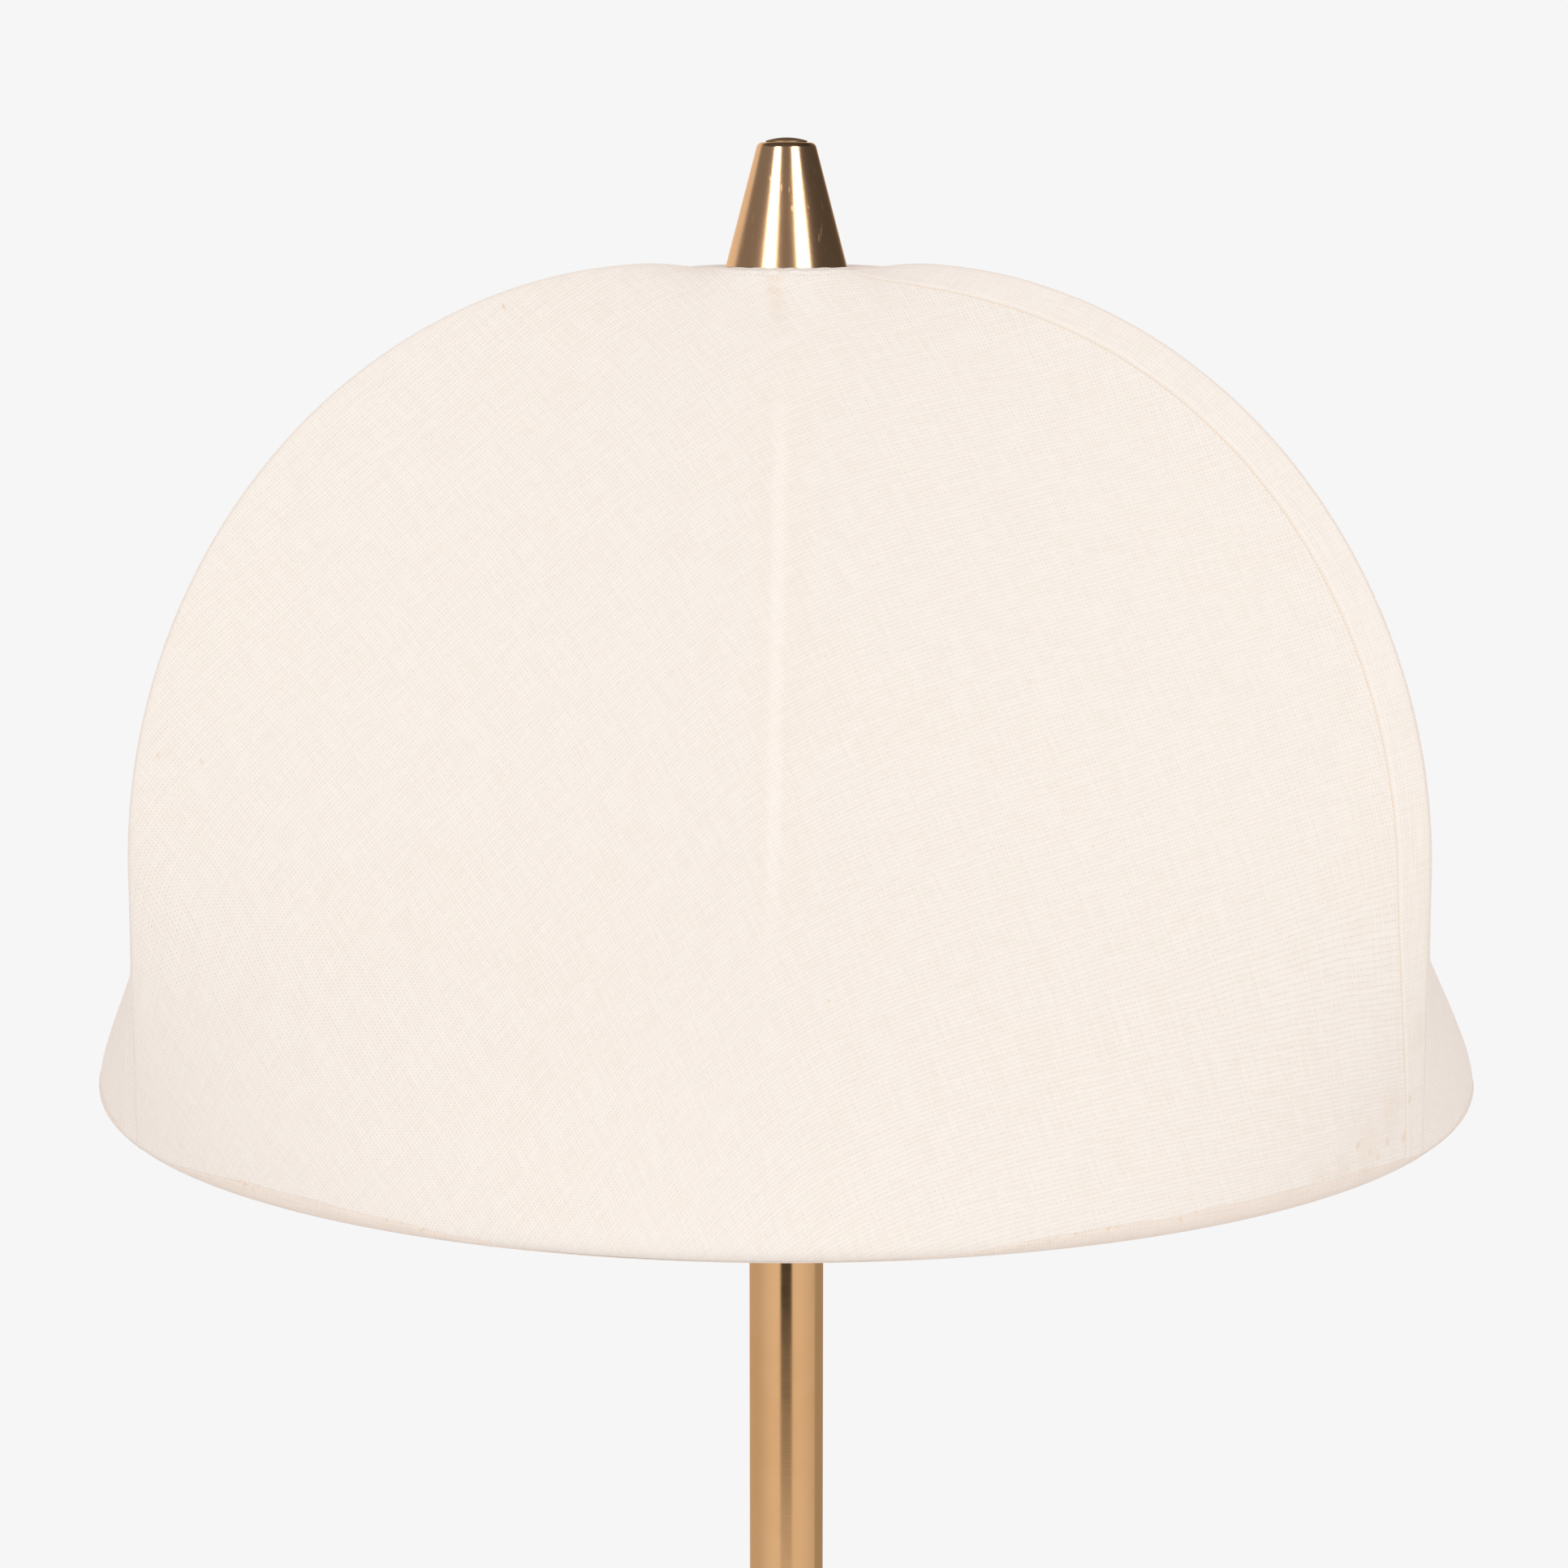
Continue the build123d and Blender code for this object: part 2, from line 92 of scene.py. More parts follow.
HEM_STAND = 0.35 * MM            # hem's outside, in front of the panels
HEM_EDGE_STAND = 0.06 * MM       # the same at its upper edge
HEM_FEATHER = 1.2 * MM           # depth of the edge, where the hem thins out
HEM_CLOTH = 0.3 * MM
HEM_ROWS = 1.9 * MM              # spacing of the hem's gathered rows of thread
RING_WRAP = 120                  # degrees that the panels follow the ring, from its outside
HEM_TURN_IN = 6 * MM
CROWN_STAND = 0.3 * MM           # crown patch's outside, in front of the panels
CROWN_EDGE_STAND = 0.03 * MM     # the same at its outer edge
CROWN_LAP = 2.5 * MM             # crown patch's reach down the panels
CROWN_HOLE_R = 12 * MM

# Marks on the front panel: millimetres from its middle and from its crown, radius and strength.
FRONT_MARKS = (
    (-3, 3, 3.5, 0.20), (-3, 8, 3.5, 0.24), (-2, 13, 3.5, 0.20), (-1, 18, 3.5, 0.12), (0, 24, 4.0, 0.07),
    (-198, 221, 0.9, 0.55), (-184, 218, 0.8, 0.35), (-99, 64, 0.7, 0.85), (38, 35, 0.6, 0.4),
    (78, 161, 0.8, 0.3), (17, 256, 0.8, 0.45), (97, 216, 0.7, 0.3), (125, 246, 4.0, 0.10),
    (144, 291, 2.5, 0.12), (214, 326, 1.6, 0.40), (209, 329, 1.4, 0.35), (197, 324, 1.4, 0.45),
    (204, 327, 1.0, 0.40), (192, 329, 2.4, 0.22), (176, 331, 2.4, 0.16), (226, 318, 1.5, 0.35),
    (225, 327, 1.8, 0.40), (180, 332, 7.0, 0.16), (190, 330, 6.0, 0.16), (203, 326, 8.0, 0.14),
    (214, 318, 8.0, 0.14), (226, 300, 9.0, 0.10),
)

# ---- sizes of the camera, the lights and the colours of the surroundings ------------
CAMERA_X = -0.8 * MM
CAMERA_DISTANCE = 5.25 * SHADE_R
CAMERA_RISE = 1.283 * SHADE_R    # above the shade's ring
CAMERA_PITCH = 9.46              # degrees down
CAMERA_LENS = 83.48              # millimetres, for a sensor 36 wide

LIGHT_DISTANCE = 1.7
LIGHT_AIM = 0.1                  # above the shade's ring
LIGHT_SIDES = (("left", -35, 0.62), ("right", 35, 0.68))     # name, azimuth, width of its mirrored box
BOX_HEIGHT = 1.4
BOX_RADIANCE = 7.5
BOX_RISE = 0.65
FILL_SIZE = (1.6, 2.6)
FILL_RADIANCE = 0.44
FILL_RISE = 0.35

BACKDROP = (0.921, 0.921, 0.921)
FILL_FRONT = (1.03, 1.01, 1.005)
FILL_BEHIND = (0.885, 0.725, 0.685)
FLOOR_FILL = (0.84, 0.81, 0.80)
FLOOR_HALF = 14.0
FLOOR_TINT = (0.82, 0.82, 0.81, 1)


# ---- camera, stage and light --------------------------------------------------------
def camera():
    """Camera at the photographed height and distance, looking slightly down."""
    data = bpy.data.cameras.new("camera")
    obj = bpy.data.objects.new("camera", data)
    bpy.context.scene.collection.objects.link(obj)
    obj.location = (CAMERA_X, -CAMERA_DISTANCE, RING_Z + CAMERA_RISE)
    obj.rotation_euler = (math.radians(90 - CAMERA_PITCH), 0, 0)
    data.sensor_width = 36.0
    data.lens = CAMERA_LENS
    data.clip_end = 100
    bpy.context.scene.camera = obj


def area_light(name, azimuth, size, radiance, mirrored):
    """Upright soft box facing the lamp's axis: either one that gloss mirrors or one that lights cloth."""
    data = bpy.data.lights.new(name, "AREA")
    data.shape = "RECTANGLE"
    data.size, data.size_y = size
    data.energy = radiance * math.pi * size[0] * size[1]
    obj = bpy.data.objects.new(name, data)
    bpy.context.scene.collection.objects.link(obj)
    obj.visible_camera = False
    obj.visible_glossy = mirrored
    obj.visible_diffuse = not mirrored
    angle = math.radians(azimuth)
    rise = BOX_RISE if mirrored else FILL_RISE
    obj.location = (LIGHT_DISTANCE * math.sin(angle), -LIGHT_DISTANCE * math.cos(angle), RING_Z + rise)
    aim = Vector((0, 0, RING_Z + LIGHT_AIM)) - obj.location
    obj.rotation_euler = aim.to_track_quat("-Z", "Y").to_euler()


def world():
    """Pale backdrop for the camera, even light for cloth, and dark sides for gloss to mirror."""
    w = bpy.data.worlds.new("studio")
    bpy.context.scene.world = w
    w.use_nodes = True
    n = Nodes(w.node_tree)
    x, y, z = n.split(n.new("ShaderNodeTexCoord").outputs["Generated"])
    path = n.new("ShaderNodeLightPath").outputs
    fill = n.mix(n.smooth(y, -0.2, 0.6), FILL_FRONT, FILL_BEHIND)
    side = n.smooth(x, 0.2, 0.7, 0.27, 0.10)
    mirrored = n.smooth(n.math("MULTIPLY_ADD", x, -0.45, y), 0.72, 0.94, side, 0.92)
    mirrored = n.math("MULTIPLY", mirrored, n.smooth(z, 0.40, 0.65, 1.0, 0.35))
    level = n.mix(path["Is Diffuse Ray"], mirrored, fill)
    background = n.new("ShaderNodeBackground")
    n.link(n.mix(path["Is Camera Ray"], level, BACKDROP), background.inputs["Color"])
    n.link(background.outputs[0], n.new("ShaderNodeOutputWorld").inputs["Surface"])


# ---- node helpers -------------------------------------------------------------------
class Nodes:
    """Short calls for building a node tree."""

    def __init__(self, tree, keep=False):
        if not keep:
            tree.nodes.clear()
        self.tree = tree

    def new(self, kind, **settings):
        node = self.tree.nodes.new(kind)
        for key, value in settings.items():
            setattr(node, key, value)
        return node

    def link(self, source, target):
        self.tree.links.new(source, target)

    def put(self, value, target):
        if isinstance(value, bpy.types.NodeSocket):
            self.link(value, target)
        else:
            target.default_value = value

    def math(self, operation, a, b=0.0, c=0.0):
        node = self.new("ShaderNodeMath", operation=operation)
        for value, target in zip((a, b, c), node.inputs):
            self.put(value, target)
        return node.outputs[0]

    def smooth(self, value, low, high, out_low=0.0, out_high=1.0):
        node = self.new("ShaderNodeMapRange", interpolation_type="SMOOTHSTEP")
        self.put(value, node.inputs["Value"])
        for key, number in zip(("From Min", "From Max", "To Min", "To Max"), (low, high, out_low, out_high)):
            self.put(number, node.inputs[key])
        return node.outputs["Result"]

    def noise(self, vector, scale, detail, roughness=0.5):
        node = self.new("ShaderNodeTexNoise")
        self.put(vector, node.inputs["Vector"])
        node.inputs["Scale"].default_value = scale
        node.inputs["Detail"].default_value = detail
        node.inputs["Roughness"].default_value = roughness
        return node.outputs["Fac"]

    def split(self, vector):
        node = self.new("ShaderNodeSeparateXYZ")
        self.link(vector, node.inputs[0])
        return node.outputs

    def scaled(self, vector, scale):
        node = self.new("ShaderNodeMapping")
        self.link(vector, node.inputs["Vector"])
        node.inputs["Scale"].default_value = scale
        return node.outputs[0]

    def mix(self, share, a, b):
        node = self.new("ShaderNodeMix", data_type="RGBA", blend_type="MIX")
        self.put(share, node.inputs[0])
        for value, target in zip((a, b), (node.inputs[6], node.inputs[7])):
            self.put(value if isinstance(value, bpy.types.NodeSocket) else (*value, 1.0), target)
        return node.outputs[2]

    def coords(self):
        return self.new("ShaderNodeTexCoord").outputs["Object"]

    def uv(self, name):
        return self.new("ShaderNodeUVMap", uv_map=name).outputs[0]

    def bump(self, height, distance, strength):
        node = self.new("ShaderNodeBump")
        node.inputs["Strength"].default_value = strength
        node.inputs["Distance"].default_value = distance
        self.link(height, node.inputs["Height"])
        return node.outputs[0]

    def principled(self, color, roughness, normal, **fixed):
        shader = self.new("ShaderNodeBsdfPrincipled")
        self.link(color, shader.inputs["Base Color"])
        self.put(roughness, shader.inputs["Roughness"])
        self.link(normal, shader.inputs["Normal"])
        for key, value in fixed.items():
            shader.inputs[key.replace("_", " ")].default_value = value
        output = self.new("ShaderNodeOutputMaterial")
        self.link(shader.outputs[0], output.inputs["Surface"])


def material(name):
    """Empty node material and its node helper."""
    m = bpy.data.materials.new(name)
    m.use_nodes = True
    return m, Nodes(m.node_tree)


# ---- cloth material -----------------------------------------------------------------
CREAM = (0.809, 0.764, 0.710)
CREAM_DULL = (0.778, 0.724, 0.664)
HEM_TINT = (0.778, 0.696, 0.628)
HEM_DULL = (0.738, 0.656, 0.585)
# Painted shade, seen through the weave's pinholes.
PINHOLE_SHADE_TINT = (0.52, 0.37, 0.27)
# Tint for real soiling in random patches, and also for painted shade along the rib, beside the crease and
# between the hem's rows.
SOIL_AND_SHADE_TINT = (0.80, 0.66, 0.54)
# Painted highlight on the crease's ridge.
CREASE_HIGHLIGHT_TINT = (0.97, 0.91, 0.85)
SEAM_TINT = (0.76, 0.56, 0.38)
# Painted highlight on the seam's raised lip.
SEAM_LIP_HIGHLIGHT_TINT = (0.93, 0.90, 0.86)
MARK_TINT = (0.66, 0.43, 0.23)


def weave(n, count):
    """Height, 0 to 1, of a plain weave whose threads are counted by the two coordinates."""
    wander = n.noise(count, 0.06, 2.0)
    x, y, _ = n.split(count)
    shift = n.math("MULTIPLY", n.math("SUBTRACT", wander, 0.5), 0.9)
    across = n.math("ADD", x, shift)
    down = n.math("SUBTRACT", y, shift)
    sin_a = n.math("SINE", n.math("MULTIPLY", across, math.pi))
    sin_d = n.math("SINE", n.math("MULTIPLY", down, math.pi))
    heights = []
    for own, other, way in ((sin_a, sin_d, 0.5), (sin_d, sin_a, -0.5)):
        wave = n.math("MULTIPLY", n.math("SIGN", own), other)
        lift = n.math("MULTIPLY_ADD", wave, way, 0.5)
        body = n.math("POWER", n.math("ABSOLUTE", own), 0.6)
        heights.append(n.math("MULTIPLY", body, n.math("MULTIPLY_ADD", lift, 0.65, 0.35)))
    return n.math("MAXIMUM", heights[0], heights[1])


def slubs(n, count):
    """Uneven thread thickness, as streaks along both thread directions."""
    rows = n.noise(n.scaled(count, (0.08, 1.0, 1)), 1.0, 3.0, 0.6)
    columns = n.noise(n.scaled(count, (1.0, 0.07, 1)), 1.0, 3.0, 0.6)
    return n.math("MULTIPLY", n.math("ADD", rows, columns), 0.5)


def seam_lip_highlight_and_rib_shade(n, color):
    """Seam with its needle holes, painted highlight on its raised lip, and painted shade along the rib where
    the cloth turns over it.
    """
    from_right, along, _ = n.split(n.uv("edge"))
    apart = n.math("ABSOLUTE", n.math("SUBTRACT", from_right, SEAM_INSET))
    turn = n.math("SINE", n.math("MULTIPLY", along, 2 * math.pi / SEAM_STITCH))
    holes = n.smooth(turn, -0.6, 0.6, 0.4, 1.0)
    line = n.math("MULTIPLY", n.smooth(apart, 0.08 * MM, 0.34 * MM, 0.62, 0.0), holes)
    from_lip = n.math("ABSOLUTE", n.math("SUBTRACT", from_right, SEAM_INSET - SEAM_LIP))
    # Painted highlight: paler tint on the raised lip beside the seam.
    lip = n.smooth(from_lip, 0.0, 1.0 * MM, 0.12, 0.0)
    color = n.mix(lip, color, SEAM_LIP_HIGHLIGHT_TINT)
    color = n.mix(line, color, SEAM_TINT)
    # Painted shade: darker within 2.5 mm of the right-hand rib, where the cloth turns away over it.
    rim = n.smooth(from_right, 0.0, 2.5 * MM, 0.22, 0.0)
    return n.mix(rim, color, SOIL_AND_SHADE_TINT)


def crease_highlight_and_shade(n, color):
    """Pressed line down a panel's middle: painted highlight on its ridge and painted shade beside it."""
    from_middle, from_crown, _ = n.split(n.uv("middle"))
    apart = n.math("ABSOLUTE", from_middle)
    below = n.smooth(from_crown, CREASE_FADE, CREASE_END, 1, 0)
    fade = n.math("MULTIPLY", below, n.smooth(from_crown, 25 * MM, 80 * MM))
    # Painted shade: darker along the crease's flank and just beside it.
    from_flank = n.math("ABSOLUTE", n.math("ADD", from_middle, 4.6 * MM))
    flank = n.smooth(from_flank, 0.0, 3.6 * MM, 0.10, 0.0)
    from_beside = n.math("ABSOLUTE", n.math("SUBTRACT", from_middle, 6.0 * MM))
    beside = n.smooth(from_beside, 1.0 * MM, 6.0 * MM, 0.07, 0.0)
    # Painted highlight: paler along the crease's ridge.
    ridge = n.smooth(apart, 0.6 * MM, 3.4 * MM, 0.16, 0.0)
    color = n.mix(n.math("MULTIPLY", n.math("ADD", flank, beside), fade), color, SOIL_AND_SHADE_TINT)
    return n.mix(n.math("MULTIPLY", ridge, fade), color, CREASE_HIGHLIGHT_TINT)


def spots(n, color, marks):
    """Small brown marks at places on the panel."""
    from_middle, from_crown, _ = n.split(n.uv("middle"))
    ragged = n.noise(n.coords(), 1300, 3.0, 0.6)
    strongest = 0.0
    for x, y, radius, strength in marks:
        dx = n.math("SUBTRACT", from_middle, x * MM)
        dy = n.math("SUBTRACT", from_crown, y * MM)
        apart = n.math("SQRT", n.math("ADD", n.math("MULTIPLY", dx, dx), n.math("MULTIPLY", dy, dy)))
        spot = n.smooth(apart, 0.15 * radius * MM, 1.25 * radius * MM, strength, 0.0)
        strongest = n.math("MAXIMUM", spot, strongest)
    share = n.math("MULTIPLY", strongest, n.smooth(ragged, 0.38, 0.64, 0.35, 1.3))
    return n.mix(share, color, MARK_TINT)


def cloth_material(name, tint=CREAM, dull=CREAM_DULL, panel=False, marks=(), pinhole_shade_strength=0.7):
    """Cream plain-weave cloth with uneven threads, and painted shade in the pinholes between the threads."""
    m, n = material(name)
    count = n.uv("grain")
    height = weave(n, count)
    streaks = slubs(n, count)
    if panel:
        from_right = n.split(n.uv("edge"))[0]
        pinhole_shade_strength = n.math("MULTIPLY", n.smooth(from_right, SEAM_INSET - 0.2 * MM, SEAM_INSET, 0.7, 1.0), pinhole_shade_strength)
    uneven = n.smooth(n.noise(count, 0.9, 2.0), 0.35, 0.65, 0.5, 1.4)
    # Painted shade: darker dots in the weave's pinholes, for the dim inside of the shade seen through them.
    pinhole_shade = n.math("MULTIPLY", n.smooth(height, 0.12, 0.52, pinhole_shade_strength, 0.0), uneven)
    color = n.mix(n.smooth(streaks, 0.38, 0.62), dull, tint)
    color = n.mix(pinhole_shade, color, PINHOLE_SHADE_TINT)
    # Real soiling in faint random patches.
    patches = n.noise(n.coords(), 14, 3.0)
    color = n.mix(n.smooth(patches, 0.45, 0.75, 0.0, 0.05), color, SOIL_AND_SHADE_TINT)
    if panel:
        # Painted highlight and shade at the seam's lip, along the rib and at the crease.
        color = crease_highlight_and_shade(n, seam_lip_highlight_and_rib_shade(n, color))
    if marks:
        color = spots(n, color, marks)
    relief = n.math("MULTIPLY_ADD", streaks, 0.2, height)
    n.principled(color, 0.85, n.bump(relief, 0.22 * MM, 0.25), Sheen_Weight=0.15, Sheen_Roughness=0.5,
                 Specular_IOR_Level=0.2)
    return m


def hem_material():
    """Cloth of the hem, with rust-brown specks along its frayed upper edge and painted shade between its
    gathered rows.
    """
    m = cloth_material("cream_cloth_hem", HEM_TINT, HEM_DULL, pinhole_shade_strength=0.55)
    n = Nodes(m.node_tree, keep=True)
    shader = next(node for node in m.node_tree.nodes if node.type == "BSDF_PRINCIPLED")
    color = shader.inputs["Base Color"].links[0].from_socket
    from_edge, _, _ = n.split(n.uv("edge"))
    near = n.smooth(from_edge, 0.5 * MM, 2.6 * MM, 1.0, 0.0)
    speck = n.smooth(n.noise(n.coords(), 420, 2.0, 0.6), 0.56, 0.68, 0.0, 0.55)
    where = n.smooth(n.noise(n.coords(), 16, 2.0), 0.45, 0.65)
    color = n.mix(n.math("MULTIPLY", n.math("MULTIPLY", near, speck), where), color, MARK_TINT)
    # Painted shade: darker stripes in the folds between the hem's gathered rows of thread.
    row = n.math("SINE", n.math("MULTIPLY", from_edge, 2 * math.pi / HEM_ROWS))
    color = n.mix(n.smooth(row, 0.2, 1.0, 0.0, 0.10), color, SOIL_AND_SHADE_TINT)
    n.link(color, shader.inputs["Base Color"])
    return m


# ---- metal and other materials ------------------------------------------------------
# Slot: material, tint, tarnished tint, roughness, strength of turning lines and of scratches.
BRASSES = {
    "brass_polished": ("polished_brass", (0.79, 0.49, 0.285), (0.72, 0.41, 0.22), 0.15, 0.25, 0.4),
    "brass_satin": ("satin_brass", (0.84, 0.495, 0.24), (0.79, 0.45, 0.205), 0.13, 0.4, 0.8),
    "brass_plain": ("plain_brass", (0.76, 0.50, 0.27), (0.58, 0.37, 0.19), 0.28, 0.3, 0.4),
    "brass_dark": ("dark_brass", (0.27, 0.175, 0.10), (0.20, 0.12, 0.065), 0.5, 0.3, 0.4),
}

# Slot: material, tint, darker tint, roughness, grain's scale, height of the grain and shader settings.
GRAINED = {
    "steel_zinc": ("zinc", (0.66, 0.66, 0.64), (0.5, 0.5, 0.49), 0.35, 900, 0.1 * MM, {"Metallic": 1.0}),
    "frame_wire": ("wire_paint", (0.86, 0.83, 0.76), (0.78, 0.74, 0.66), 0.45, 500, 0.1 * MM, {}),
    "cast_iron": ("iron", (0.06, 0.06, 0.06), (0.03, 0.03, 0.03), 0.7, 400, 0.4 * MM, {}),
    "felt": ("felt", (0.16, 0.13, 0.10), (0.07, 0.05, 0.04), 0.95, 1500, 0.4 * MM, {"Sheen_Weight": 0.4}),
    "black_plastic": ("phenolic", (0.035, 0.03, 0.028), (0.015, 0.013, 0.012), 0.35, 700, 0.1 * MM, {}),
    "card": ("card", (0.30, 0.20, 0.12), (0.20, 0.13, 0.08), 0.8, 900, 0.1 * MM, {}),
    "glass_frosted": ("frosted_glass", (0.93, 0.92, 0.89), (0.88, 0.87, 0.84), 0.35, 1500, 0.03 * MM,
                      {"Coat_Weight": 0.2}),
    "glass_black": ("black_glass", (0.02, 0.02, 0.025), (0.01, 0.01, 0.012), 0.15, 300, 0.1 * MM, {}),
    "aluminium": ("aluminium", (0.80, 0.80, 0.79), (0.68, 0.68, 0.67), 0.3, 800, 0.1 * MM, {"Metallic": 1.0}),
    "tin": ("tin", (0.72, 0.71, 0.68), (0.55, 0.54, 0.52), 0.35, 900, 0.1 * MM, {"Metallic": 1.0}),
    "seat_fibre": ("fibre", (0.62, 0.54, 0.43), (0.50, 0.42, 0.32), 0.7, 900, 0.1 * MM, {}),
}


def brass_material(name, tint, dull, roughness, lines, scratches):
    """Brass with faint tarnish, turning lines around Z and fine scratches."""
    m, n = material(name)
    where = n.coords()
    cloud = n.noise(where, 35, 4.0, 0.6)
    fine = n.noise(where, 420, 2.0)
    color = n.mix(n.smooth(cloud, 0.4, 0.75, 0.0, 0.6), tint, dull)
    rough = n.math("ADD", n.smooth(cloud, 0.3, 0.8, roughness, roughness + 0.06),
                   n.math("MULTIPLY", fine, 0.03))
    grain = n.noise(n.scaled(where, (40, 40, 2600)), 1.0, 2.0)
    marks = n.noise(n.scaled(where, (500, 500, 22)), 1.0, 1.0)
    mark = n.smooth(marks, 0.70, 0.76, 0.0, scratches)
    rough = n.math("ADD", rough, n.math("MULTIPLY", mark, 0.3))
    relief = n.math("ADD", n.math("MULTIPLY", grain, lines), n.math("MULTIPLY", fine, 0.15))
    n.principled(color, rough, n.bump(relief, 0.02 * MM, 0.5), Metallic=1.0,
                 Specular_Tint=(1.0, 0.80, 0.60, 1.0))
    return m


def grained_material(name, tint, dark, roughness, scale, relief, fixed):
    """Moulded, cast, painted or pressed surface with a fine uneven grain."""
    m, n = material(name)
    where = n.coords()
    grain = n.noise(where, scale, 4.0, 0.6)
    cloud = n.noise(where, scale / 12, 3.0)
    color = n.mix(n.smooth(n.math("MULTIPLY", n.math("ADD", grain, cloud), 0.5), 0.35, 0.65), dark, tint)
    rough = n.smooth(grain, 0.3, 0.7, roughness - 0.05, roughness + 0.08)
    n.principled(color, rough, n.bump(grain, relief, 0.5), **fixed)
    return m


def make_materials():
    """One material for each slot of the record, and two more for the front panel and the crown."""
    made = {slot: brass_material(*look) for slot, look in BRASSES.items()}
    made.update((slot, grained_material(*look)) for slot, look in GRAINED.items())
    made["cloth"] = cloth_material("cream_cloth", panel=True)
    made["cloth_front"] = cloth_material("cream_cloth_front", panel=True, marks=FRONT_MARKS)
    made["cloth_crown"] = cloth_material("cream_cloth_crown")
    made["cloth_hem"] = hem_material()
    return made


# ---- the stretched cover ------------------------------------------------------------
def rib_line(shares):
    """Radius and height, above the ring, of the cloth over a rib: 0 at the crown, 1 at the ring."""
    apex = ARC_CENTRE_Z + ARC_R
    rise = math.hypot(ARC_CENTRE_R - CROWN_R, apex - CROWN_Z)
    arc = ARC_R * math.pi / 2
    run = shares * (rise + arc + ARC_CENTRE_Z)
    on_rise = np.clip(run / rise, 0, 1)
    turn = np.clip((run - rise) / ARC_R, 0, math.pi / 2)
    down = np.clip(run - rise - arc, 0, ARC_CENTRE_Z)
    radius = CROWN_R + (ARC_CENTRE_R - CROWN_R) * on_rise + ARC_R * np.sin(turn)
    height = CROWN_Z + (apex - CROWN_Z) * on_rise + ARC_R * (np.cos(turn) - 1) - down
    return radius, height


def stretched_panel(rows, columns):
    """Panel centred on azimuth 0 where the pulls of its threads balance, flared above the ring."""
    radius, height = rib_line(np.linspace(0, 1, rows))
    azimuth = np.radians(np.linspace(-HALF_ANGLE, HALF_ANGLE, columns))
    grid = np.zeros((rows, columns, 3))
    grid[..., 0] = radius[:, None] * np.sin(azimuth)
    grid[..., 1] = -radius[:, None] * np.cos(azimuth)
    grid[..., 2] = height[:, None]

    fade = np.clip(height / (0.8 * SHADE_R), 0, 1)
    down_step = np.hypot(np.diff(radius), np.diff(height)).mean()
    cell = radius * (azimuth[1] - azimuth[0])
    across = (fade * fade * (3 - 2 * fade) * down_step / cell)[1:-1]
    between = (cell[1:] + cell[:-1]) / (2 * down_step)

    count = (rows - 2) * (columns - 2)
    number = np.full((rows, columns), -1)
    number[1:-1, 1:-1] = np.arange(count).reshape(rows - 2, columns - 2)
    here = number[1:-1, 1:-1]
    matrix = np.zeros((count, count))
    load = np.zeros((count, 3))
    sideways = ((0, -1, across), (0, 1, across))
    lengthways = ((-1, 0, between[:-1]), (1, 0, between[1:]))
    for down, right, pull in sideways + lengthways:
        window = (slice(1 + down, rows - 1 + down), slice(1 + right, columns - 1 + right))
        beside = number[window]
        strength = np.repeat(pull[:, None], columns - 2, axis=1)
        inner = beside >= 0
        matrix[here, here] += strength
        matrix[here[inner], beside[inner]] -= strength[inner]
        load[here[~inner]] += strength[~inner][:, None] * grid[window][~inner]
    grid[1:-1, 1:-1] = np.linalg.solve(matrix, load).reshape(rows - 2, columns - 2, 3)

    low = np.clip(grid[..., 2] / (0.5 * SHADE_R), 0, 1)
    between_ribs = 1 - np.abs(np.linspace(-1, 1, columns)) ** 4
    flare = 0.03 * SHADE_R * 6.75 * low * (1 - low) ** 2 * between_ribs
    bearing = np.arctan2(grid[..., 0], -grid[..., 1])
    grid[..., 0] += flare * np.sin(bearing)
    grid[..., 1] -= flare * np.cos(bearing)
    return grid


def spline_rows(values, places):
    """Natural cubic spline through evenly spaced rows 0..1, read at places."""
    count = len(values)
    flat = values.reshape(count, -1)
    system = np.eye(count)
    right = np.zeros_like(flat)
    for i in range(1, count - 1):
        system[i, i - 1:i + 2] = (1, 4, 1)
        right[i] = 6 * (flat[i - 1] - 2 * flat[i] + flat[i + 1])
    bend = np.linalg.solve(system, right)
    x = np.clip(np.asarray(places), 0, 1) * (count - 1)
    i = np.minimum(x.astype(int), count - 2)
    t = (x - i)[:, None]
    u = 1 - t
    out = u * flat[i] + t * flat[i + 1] + (u ** 3 - u) * bend[i] / 6 + (t ** 3 - t) * bend[i + 1] / 6
    return out.reshape((len(x),) + values.shape[1:])


def unit(vectors):
    """Vectors scaled to length 1 along the last axis."""
    return vectors / np.maximum(np.linalg.norm(vectors, axis=-1, keepdims=True), 1e-12)


def grid_normals(grid):
    """Outward normals of a grid whose rows go down and whose columns go towards +X."""
    down = np.gradient(grid, axis=0)
    right = np.gradient(grid, axis=1)
    return unit(np.cross(down, right))


def panel_columns(half):
    """Distances from the centre line of one row, close together at the ribs, seam and crease."""
    edge = np.array([0, 0.5, 1.0, 1.6, 2.3, 3.1, 4.2, 5.6, 7.0]) * MM
    seam = SEAM_INSET + np.array([-1.6, -1.1, -0.7, -0.35, 0, 0.35, 0.7, 1.1, 1.8, 2.8, 4.2]) * MM
    crease = np.linspace(-7, 7, 21) * MM
    right = half - np.concatenate([edge, seam])
    left = -half + np.concatenate([edge, [9 * MM, 12 * MM]])
    fill_left = np.linspace(left[-1], crease[0], 40)[1:-1]
    fill_right = np.linspace(crease[-1], right[-1], 40)[1:-1]
    return np.concatenate([left, fill_left, crease, fill_right, right[::-1]])


def rounded(distance, radius):
    """How far a sharp bend of slope 1 is filled at a distance from its edge."""
    return distance - np.sqrt(distance ** 2 + radius ** 2) + radius


